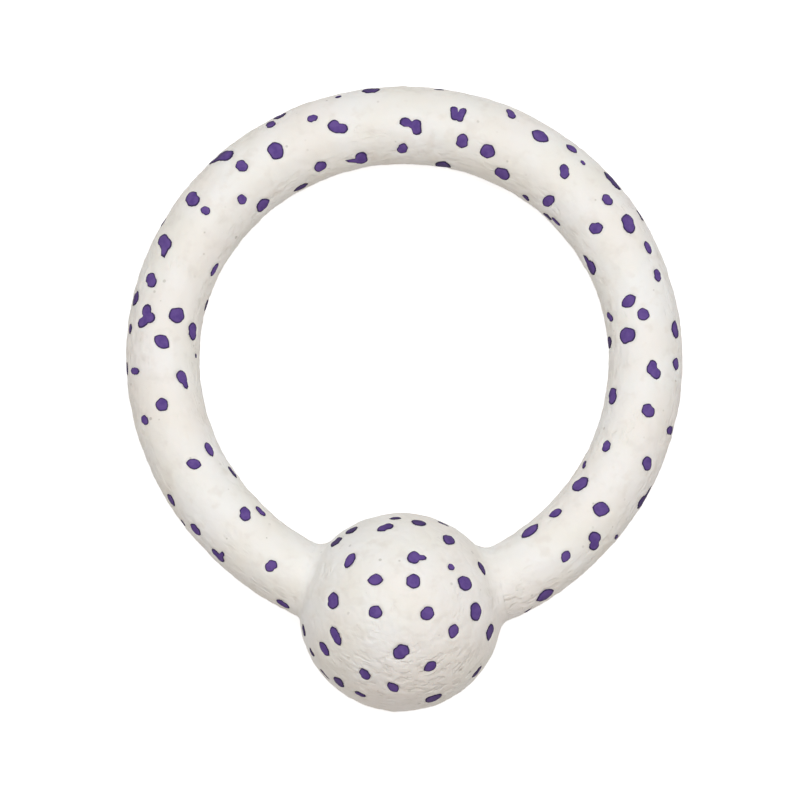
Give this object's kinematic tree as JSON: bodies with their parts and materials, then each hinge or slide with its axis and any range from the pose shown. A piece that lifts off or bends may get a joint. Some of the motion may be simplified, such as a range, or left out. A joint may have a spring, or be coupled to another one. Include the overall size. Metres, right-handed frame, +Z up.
{
  "type": "rubber chew toy",
  "caption": "Bead-foam chew ring whose round tube runs through a larger ball, flecked all over with violet beads.",
  "frame": {"origin": "middle of the toy's footprint, on the floor that it lies on", "axes": "+Z up from the floor; the ball is at -Y and the far side of the ring at +Y; +X to the right as seen from the ball"},
  "size_m": [0.18, 0.2038, 0.064],
  "materials": {
    "white_bead_foam": "satin",
    "violet_beads": "satin"
  },
  "bodies": {
    "root": {"ring": "white_bead_foam", "ball": "white_bead_foam", "ring_top_beads": "violet_beads", "ring_under_beads": "violet_beads", "ball_top_beads": "violet_beads", "ball_under_beads": "violet_beads"}
  },
  "joints": []
}
